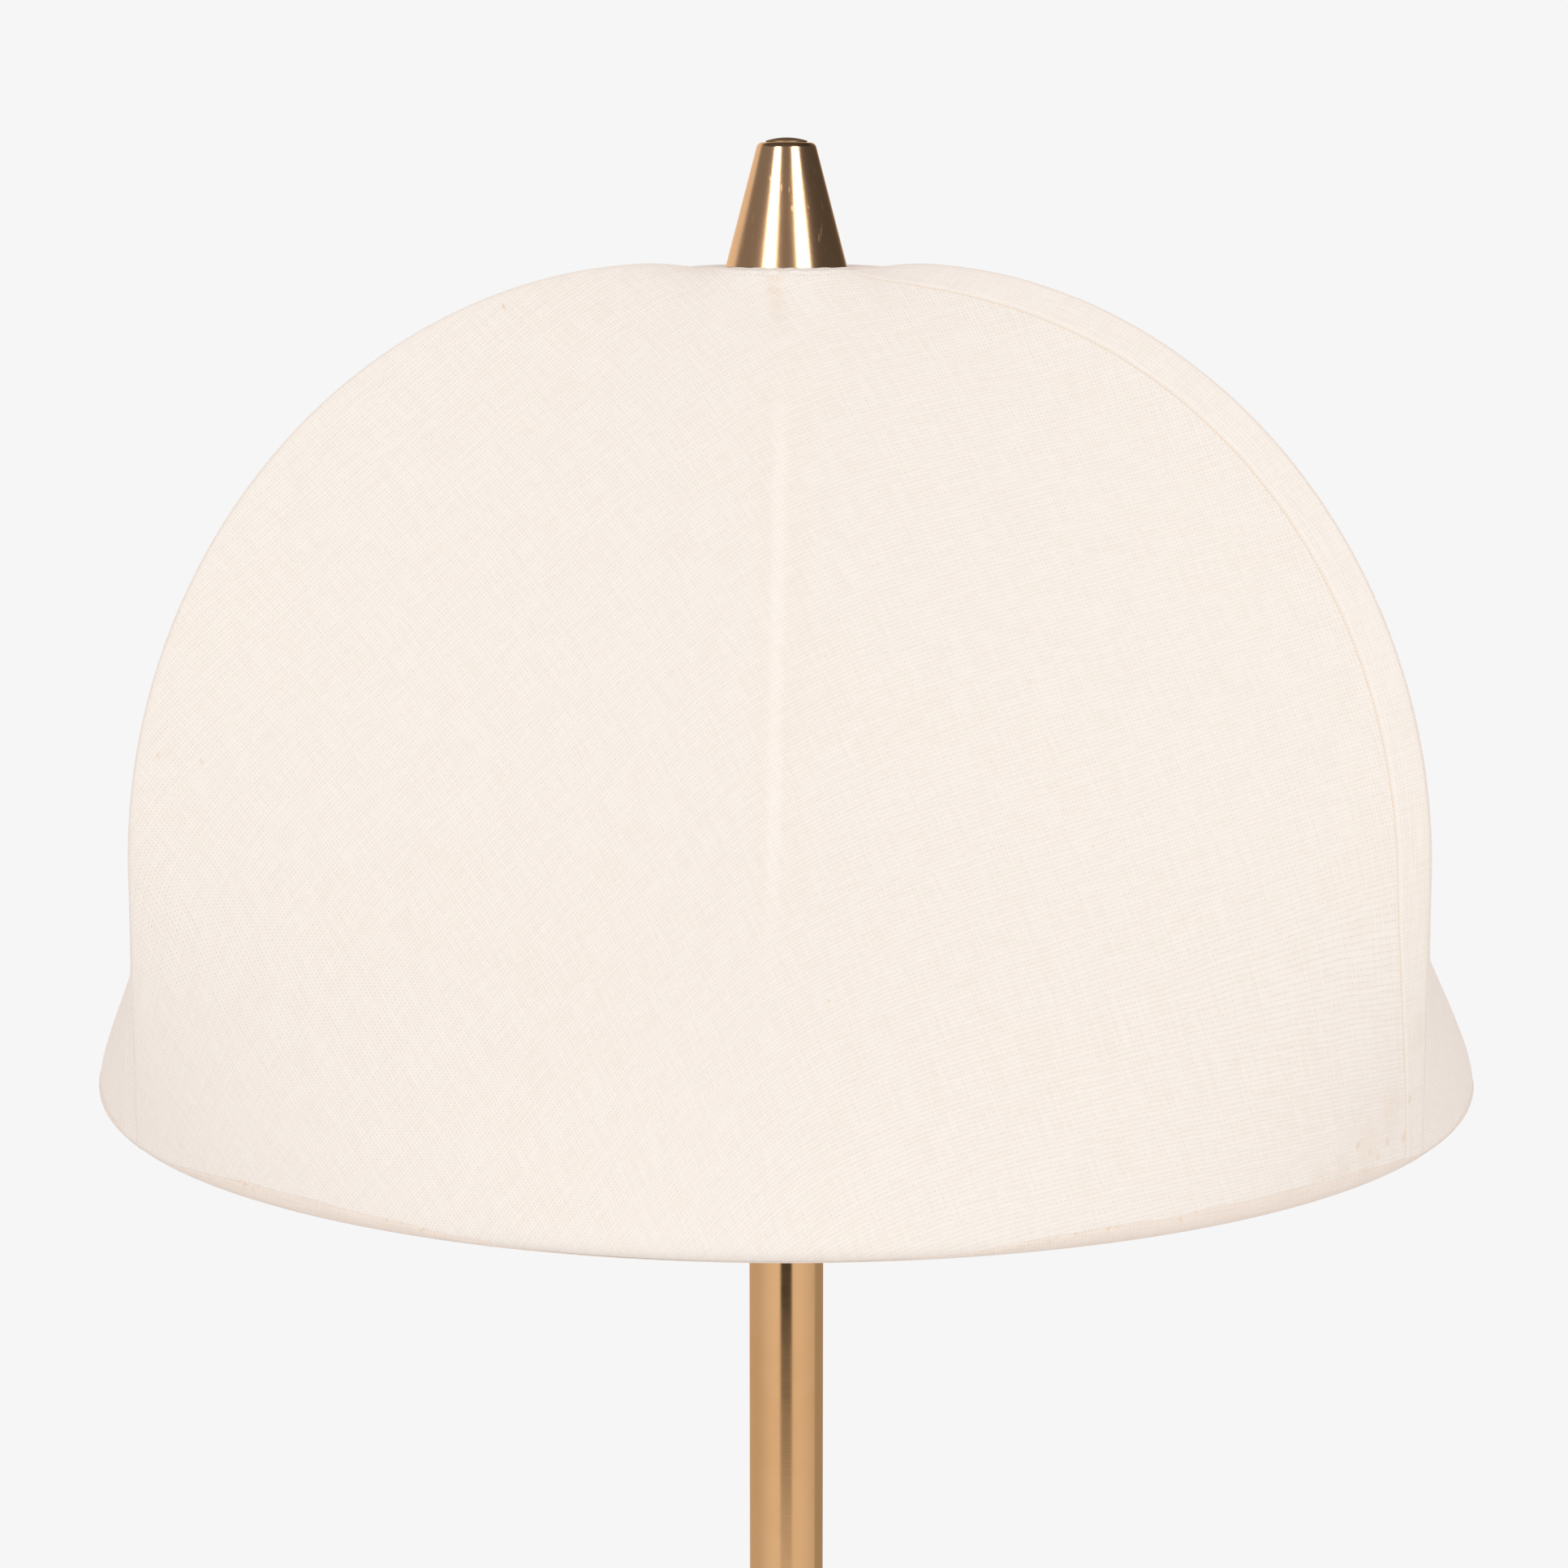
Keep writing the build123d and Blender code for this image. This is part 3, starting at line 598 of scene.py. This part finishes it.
def run_along(line):
    """Distance along a line of points, from its first."""
    return np.concatenate([[0], np.cumsum(np.linalg.norm(np.diff(line, axis=0), axis=1))])


def sampled_panel():
    """Panel points at full detail and each point's distance from its row's middle."""
    coarse = stretched_panel(41, 31)
    near_ring = FINE_ROWS_RUN / RIB_RUN
    places = np.concatenate([np.linspace(0, 1 - near_ring, 140), np.linspace(1 - near_ring, 1, 18)[1:]])
    dense = spline_rows(coarse, places)
    dense = spline_rows(dense.transpose(1, 0, 2), np.linspace(0, 1, 601)).transpose(1, 0, 2)

    steps = np.linalg.norm(np.diff(dense, axis=1), axis=2)
    run = np.concatenate([np.zeros((len(dense), 1)), np.cumsum(steps, axis=1)], axis=1)
    half = run[:, -1] / 2
    sample = np.array([panel_columns(h) for h in half])
    grid = np.zeros(sample.shape + (3,))
    for row in range(len(dense)):
        for axis in range(3):
            grid[row, :, axis] = np.interp(sample[row], run[row] - half[row], dense[row, :, axis])
    return grid, sample, half


def round_over_rib(grid, sample, column, sign):
    """Fill the bend at one side of a panel, where the cloth rounds the rib's wire."""
    rim = grid[:, column]
    along = unit(np.gradient(rim, axis=0))
    angle = -sign * math.radians(HALF_ANGLE)
    plane = np.array([math.cos(angle), math.sin(angle), 0.0])
    outward = unit(np.cross(along, plane))
    outward *= np.sign((outward * (rim + [0, 0, -0.1])).sum(axis=1, keepdims=True))
    lean = unit(grid[:, column + 3 * sign] - rim)
    slope = -(lean * outward).sum(axis=1) / np.maximum(np.abs((lean * plane).sum(axis=1)), 0.2)
    apart = np.abs(sample - sample[:, column][:, None])
    fill = slope[:, None] * rounded(apart, 2.2 * MM) * np.exp(-(apart / (18 * MM)) ** 2)
    grid += fill[..., None] * outward[:, None, :]


def upright_at_ring(grid):
    """Bend the foot of a panel so that it meets the ring upright; gives the way out from the axis."""
    rise = np.abs(grid[-1, :, 2][None, :] - grid[..., 2])
    foot = unit(grid[-4] - grid[-1])
    bearing = np.arctan2(grid[..., 0], -grid[..., 1])
    radial = np.stack([np.sin(bearing), -np.cos(bearing), np.zeros_like(bearing)], axis=-1)
    slope = -(foot * radial[-1]).sum(axis=1) / np.maximum(foot[:, 2], 0.2)
    fill = slope[None, :] * rounded(rise, 3.5 * MM) * np.exp(-(rise / (16 * MM)) ** 2)
    grid += fill[..., None] * radial
    return radial


def extended(values, more):
    """Array with its last row repeated."""
    return np.concatenate([values, np.repeat(values[-1:], more, axis=0)])


def fine_panel():
    """Panel points, thread coordinates and edge distances at full detail, in metres."""
    grid, sample, half = sampled_panel()
    down_run = run_along(grid[:, np.argmin(np.abs(sample[0]))])
    edge_run = run_along(grid[:, -1])
    for column, sign in ((0, 1), (-1, -1)):
        round_over_rib(grid, sample, column, sign)
    radial = upright_at_ring(grid)
    widen = np.gradient(half, down_run) / half
    widen = np.where(np.abs(widen) < 0.02, 0.02, widen)[:, None]
    foot = grid[::-1][:16]

    # Past the ring's outside the cloth follows the ring.
    turn = np.radians(np.linspace(0, RING_WRAP, 13))[1:, None]
    reach = RING_R + CLOTH_DEPTH * np.cos(turn)
    drop = np.repeat(-CLOTH_DEPTH * np.sin(turn), grid.shape[1], axis=1)
    past_ring = np.stack([reach * radial[-1, :, 0], reach * radial[-1, :, 1], drop], axis=-1)
    grid = np.concatenate([grid, past_ring])
    past = CLOTH_DEPTH * turn[:, 0]
    down_run = np.concatenate([down_run, down_run[-1] + past])
    edge_run = np.concatenate([edge_run, edge_run[-1] + past])
    sample = extended(sample, len(turn))
    widen = extended(widen, len(turn))

    # Thread counts come from the panel laid flat.
    flat_x = np.sin(widen * sample) / widen
    flat_y = down_run[:, None] - (1 - np.cos(widen * sample)) / widen
    from_right = sample[:, -1][:, None] - sample
    along_edge = np.repeat(edge_run[:, None], sample.shape[1], axis=1)
    panel_threads = np.stack([thread_count(flat_x, flat_y, family) for family in (WARP, WEFT)], axis=-1)
    strip_threads = np.stack([from_right, along_edge], axis=-1) / THREAD
    in_strip = (from_right < SEAM_INSET - 0.1 * MM)[..., None]
    return {
        "grid": grid,
        "foot": foot,
        "from_right": from_right,
        "from_middle": sample,
        "from_crown": np.repeat(down_run[:, None], sample.shape[1], axis=1),
        "edge_run": along_edge,
        "threads": np.where(in_strip, strip_threads, panel_threads),
    }


def thread_count(x, y, family):
    """Threads of one family counted across the flat panel."""
    ways = []
    for side in ("left", "right"):
        angle, spacing = family[side]
        ways.append(np.array([math.sin(math.radians(angle)), math.cos(math.radians(angle))]) / (spacing * MM))
    left, right = ways
    change = left - right
    apart = x - family["middle"] * MM
    root = np.hypot(apart, family["width"] * MM)
    lean = (apart - root) / 2
    share = (1 - apart / root) / 2
    return right[0] * x + right[1] * y + change[0] * lean + change[1] * share * y


def add_grid(name, grid, layers):
    """Mesh object from a grid of points with one UV map for each named layer."""
    rows, columns = grid.shape[:2]
    number = np.arange(rows * columns).reshape(rows, columns)
    left, right = number[:, :-1], number[:, 1:]
    faces = np.stack([left[:-1], left[1:], right[1:], right[:-1]], axis=-1).reshape(-1, 4)
    mesh = bpy.data.meshes.new(name)
    mesh.from_pydata(grid.reshape(-1, 3).tolist(), [], faces.tolist())
    corners = faces.reshape(-1)
    for key, values in layers.items():
        layer = mesh.uv_layers.new(name=key)
        flat = values.reshape(-1, 2)[corners]
        layer.data.foreach_set("uv", flat.astype(np.float32).reshape(-1))
    mesh.shade_smooth()
    obj = bpy.data.objects.new(name, mesh)
    bpy.context.scene.collection.objects.link(obj)
    return obj


def thicken(obj, thickness):
    """Give a cloth surface its thickness, inwards, and apply it."""
    modifier = obj.modifiers.new("thickness", "SOLIDIFY")
    modifier.thickness = thickness
    modifier.offset = -1.0
    modifier.use_even_offset = False
    apply_modifiers(obj)


def apply_modifiers(obj):
    """Replace an object's mesh by its evaluated one."""
    graph = bpy.context.evaluated_depsgraph_get()
    done = bpy.data.meshes.new_from_object(obj.evaluated_get(graph), preserve_all_data_layers=True,
                                           depsgraph=graph)
    obj.modifiers.clear()
    obj.data = done


def turned_about_axis(grid, azimuth):
    """Grid turned about the lamp's axis by an azimuth in degrees, lifted to the ring's height."""
    angle = math.radians(azimuth)
    out = grid.copy()
    out[..., 0] = grid[..., 0] * math.cos(angle) - grid[..., 1] * math.sin(angle)
    out[..., 1] = grid[..., 0] * math.sin(angle) + grid[..., 1] * math.cos(angle)
    out[..., 2] += RING_Z
    return out


def panel_relief(panel):
    """How far the seam and the pressed crease stand out of a panel, in metres."""
    lip = panel["from_right"] - SEAM_INSET
    seam = -0.12 * np.exp(-(lip / (0.35 * MM)) ** 2) + 0.16 * np.exp(-((lip + 1.0 * MM) / (0.8 * MM)) ** 2)
    fade = 1 - np.clip((panel["from_crown"] - CREASE_FADE) / (CREASE_END - CREASE_FADE), 0, 1)
    ridge = np.exp(-(panel["from_middle"] / (1.9 * MM)) ** 2)
    flank = np.exp(-((np.abs(panel["from_middle"]) - 4 * MM) / (1.6 * MM)) ** 2)
    return (seam + (0.15 * ridge - 0.06 * flank) * fade) * MM


def cloth_piece(name, grid, layers, finish, nodes, thickness=CLOTH):
    """Thickened cloth on the shade, in place of CAD nodes."""
    obj = add_grid(name, grid, layers)
    thicken(obj, thickness)
    obj.data.materials.clear()
    obj.data.materials.append(finish)
    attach(obj, "shade")
    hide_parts(*nodes)
    return obj


def panels(panel, materials):
    """Three stretched panels, each seamed to the next beside its right-hand rib."""
    shaped = panel["grid"] + grid_normals(panel["grid"]) * panel_relief(panel)[..., None]
    for number, azimuth in enumerate(PANEL_AZIMUTHS, start=1):
        layers = {
            "grain": panel["threads"] + np.array([37, 61]) * number,
            "edge": np.stack([panel["from_right"], panel["edge_run"]], axis=-1),
            "middle": np.stack([panel["from_middle"], panel["from_crown"]], axis=-1),
        }
        finish = materials["cloth_front" if number == 1 else "cloth"]
        grid = turned_about_axis(shaped, azimuth)
        nodes = [f"shade_panel_{number}"]
        obj = cloth_piece(f"cloth_panel_{number}", grid, layers, finish, nodes)


def around(panel, rows):
    """Rows of all three panels joined into closed rings, in the ring's frame."""
    parts = [turned_about_axis(rows, azimuth)[:, :-1] for azimuth in PANEL_AZIMUTHS]
    ring = np.concatenate(parts, axis=1)
    ring[..., 2] -= RING_Z
    return np.concatenate([ring, ring[:, :1]], axis=1)


def hem_top(azimuth):
    """Height of the hem's uneven upper edge above the ring, for azimuths in radians."""
    local = (np.degrees(azimuth) - PANEL_AZIMUTHS[0] + HALF_ANGLE) % (2 * HALF_ANGLE) - HALF_ANGLE
    left = 6.5 * np.exp(-((local + 37) / 17) ** 4)
    right = 7.7 * np.exp(-((local - 37) / 22) ** 4)
    frayed = 0.40 * np.sin(7 * azimuth + 1) + 0.35 * np.sin(19 * azimuth + 2) + 0.22 * np.sin(47 * azimuth)
    return (left + right - 5.0 + frayed) * MM


def hem(panel, materials):
    """Strip turned around the ring from outside the panels to inside them."""
    foot = around(panel, panel["foot"])
    bearing = np.arctan2(foot[0, :, 0], -foot[0, :, 1])
    turn_r = CLOTH_DEPTH + HEM_STAND
    half_turn = turn_r * math.pi
    end = -half_turn - HEM_TURN_IN
    shares = np.linspace(0, 1, 36)[:, None] ** 1.4
    run = hem_top(bearing)[None, :] * (1 - shares) + end * shares
    from_edge = run[0][None, :] - run
    feather = np.clip(from_edge / HEM_FEATHER, 0, 1)
    stand = HEM_EDGE_STAND + (HEM_STAND - HEM_EDGE_STAND) * feather ** 2 * (3 - 2 * feather)
    angle = np.clip(-run / turn_r, 0, math.pi)
    height = np.where(run > 0, run, -turn_r * np.sin(angle) + np.maximum(-run - half_turn, 0))
    radius = RING_R + (CLOTH_DEPTH + stand) * np.cos(angle)
    wall = np.hypot(foot[..., 0], foot[..., 1])
    for column in range(run.shape[1]):
        outside = np.interp(run[:, column], foot[:, column, 2], wall[:, column]) + stand[:, column]
        radius[:, column] = np.where(run[:, column] > 0, outside, radius[:, column])
    grid = np.stack([radius * np.sin(bearing), -radius * np.cos(bearing), height + RING_Z], axis=-1)
    around_run = np.concatenate([[0], np.cumsum(np.hypot(*np.diff(foot[0, :, :2], axis=0).T))])
    along_hem = np.repeat(around_run[None, :], len(run), axis=0)
    layers = {
        "grain": np.stack([along_hem, run], axis=-1) / THREAD,
        "edge": np.stack([from_edge, along_hem], axis=-1),
    }
    finish = materials["cloth_hem"]
    obj = cloth_piece("cloth_hem", grid, layers, finish, ["shade_hem"], HEM_CLOTH)


def crown(panel, materials):
    """Patch over the hub, turned down onto the panels' upper ends."""
    upper = around(panel, panel["grid"][:8])
    bearing = np.arctan2(upper[0, :, 0], -upper[0, :, 1])
    inner = np.linspace(CROWN_HOLE_R, CROWN_R, 24, endpoint=False)
    path = np.zeros((len(inner) + len(upper), upper.shape[1], 3))
    path[:len(inner), :, 0] = inner[:, None] * np.sin(bearing)
    path[:len(inner), :, 1] = -inner[:, None] * np.cos(bearing)
    path[:len(inner), :, 2] = CROWN_Z
    path[len(inner):] = upper
    steps = np.linalg.norm(np.diff(path, axis=0), axis=2)
    run = np.concatenate([np.zeros((1, path.shape[1])), np.cumsum(steps, axis=0)])
    reach = CROWN_R - CROWN_HOLE_R + CROWN_LAP
    places = np.linspace(0, reach, 46)
    grid = np.zeros((len(places), path.shape[1], 3))
    for column in range(path.shape[1]):
        for axis in range(3):
            grid[:, column, axis] = np.interp(places, run[:, column], path[:, column, axis])
    for _ in range(6):
        grid[1:-1] = (grid[:-2] + 2 * grid[1:-1] + grid[2:]) / 4
    outside = np.clip((places - 9 * MM) / (6 * MM), 0, 1)[:, None]
    feather = np.clip((reach - places) / (9 * MM), 0, 1)[:, None]
    pucker = 0.12 * MM * outside * np.sin(23 * bearing + 3 * np.sin(3 * bearing))[None, :]
    stand = (CROWN_STAND - CROWN_EDGE_STAND) * outside + pucker
    grid += grid_normals(grid) * (stand * feather + CROWN_EDGE_STAND * outside)[..., None]
    grid[..., 2] += RING_Z
    layers = {"grain": grid[..., :2] / THREAD}
    obj = cloth_piece("cloth_crown", grid, layers, materials["cloth_crown"], ["shade_crown"])


def stage_floor():
    """Pale floor that runs into the backdrop away from the lamp."""
    corners = [(x * FLOOR_HALF, y * FLOOR_HALF, 0) for x, y in ((-1, -1), (1, -1), (1, 1), (-1, 1))]
    mesh = bpy.data.meshes.new("floor")
    mesh.from_pydata(corners, [], [(0, 1, 2, 3)])
    obj = bpy.data.objects.new("floor", mesh)
    bpy.context.scene.collection.objects.link(obj)
    mesh.materials.append(floor_material())


def floor_material():
    """Grey near the lamp and glowing far off: as backdrop, as light for cloth or as gloss mirrors it."""
    m, n = material("floor")
    x, y, _ = n.split(n.coords())
    far = n.math("SQRT", n.math("ADD", n.math("MULTIPLY", x, x), n.math("MULTIPLY", y, y)))
    near = n.new("ShaderNodeBsdfDiffuse")
    near.inputs["Color"].default_value = FLOOR_TINT
    glow = n.new("ShaderNodeEmission")
    mix = n.new("ShaderNodeMixShader")
    n.link(n.smooth(far, 0.9, 2.4), mix.inputs[0])

    # Gloss mirrors two pale sides and, straight ahead and far off, a dark band.
    ahead = n.math("DIVIDE", x, n.math("MAXIMUM", n.math("MULTIPLY", y, -1.0), 0.01))
    aside = n.math("ABSOLUTE", n.math("ADD", ahead, 0.005))
    gloom = n.math("MULTIPLY", n.smooth(aside, 0.24, 0.40, 0.99, 0.0), n.smooth(far, 2.8, 3.25))
    back = n.math("DIVIDE", y, far)
    left = n.smooth(back, -0.9, 0.2, 0.83, 0.62)
    right = n.math("MULTIPLY", n.smooth(back, -0.8, 0.1, 0.81, 0.68), n.smooth(back, 0.1, 0.26, 1.0, 0.62))
    on_right = n.math("GREATER_THAN", x, 0.0)
    mirrored = n.math("MULTIPLY_ADD", n.math("SUBTRACT", right, left), on_right, left)
    mirrored = n.math("MULTIPLY", mirrored, n.math("SUBTRACT", 1.0, gloom))

    path = n.new("ShaderNodeLightPath").outputs
    level = n.mix(path["Is Diffuse Ray"], mirrored, FLOOR_FILL)
    n.link(n.mix(path["Is Camera Ray"], level, BACKDROP), glow.inputs["Color"])
    n.link(near.outputs[0], mix.inputs[1])
    n.link(glow.outputs[0], mix.inputs[2])
    n.link(mix.outputs[0], n.new("ShaderNodeOutputMaterial").inputs["Surface"])
    return m


def dress_cad(materials):
    """Give every CAD node the material of its slot."""
    slots = {s["node"]: s["material_slot"] for s in frame["record"]["subparts"]}
    for name, obj in frame["nodes"].items():
        obj.data.materials.clear()
        obj.data.materials.append(materials[slots[name]])


camera()
world()
for side, azimuth, width in LIGHT_SIDES:
    area_light(f"{side}_box", azimuth, (width, BOX_HEIGHT), BOX_RADIANCE, mirrored=True)
    area_light(f"{side}_fill", azimuth, FILL_SIZE, FILL_RADIANCE, mirrored=False)
bpy.context.scene.view_settings.view_transform = "Standard"
stage_floor()
MATERIALS = make_materials()
dress_cad(MATERIALS)
PANEL = fine_panel()
panels(PANEL, MATERIALS)
hem(PANEL, MATERIALS)
crown(PANEL, MATERIALS)
